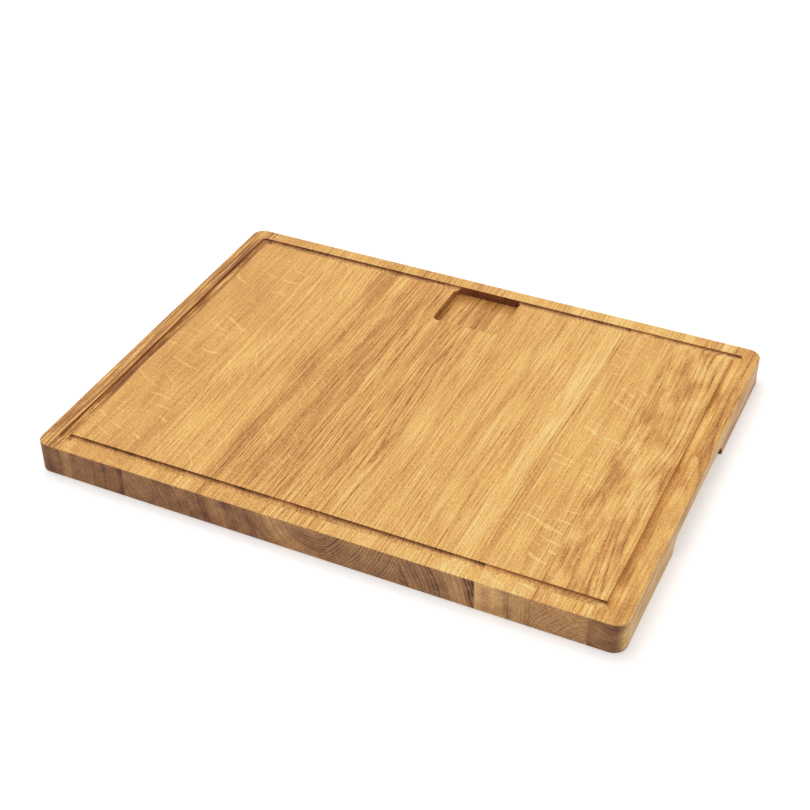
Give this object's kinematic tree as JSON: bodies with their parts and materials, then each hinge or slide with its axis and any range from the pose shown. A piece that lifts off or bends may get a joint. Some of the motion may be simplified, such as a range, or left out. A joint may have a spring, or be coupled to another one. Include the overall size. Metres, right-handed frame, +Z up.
{
  "type": "serving board",
  "caption": "Rectangular oak serving board with a juice groove around the top, a juice pocket at the back and finger grips under both ends.",
  "frame": {"origin": "centre of the board's underside", "axes": "+X along the long side to the right, +Y to the back edge with the juice pocket, +Z up out of the top face"},
  "size_m": [0.45, 0.33, 0.025],
  "materials": {
    "oak": "oiled, satin"
  },
  "bodies": {
    "root": {"left_strip": "oak", "stave_1": "oak", "stave_2": "oak", "stave_3": "oak", "stave_4": "oak", "stave_5": "oak", "stave_6": "oak", "narrow_stave_1": "oak", "narrow_stave_2": "oak", "right_strip": "oak"}
  },
  "joints": []
}
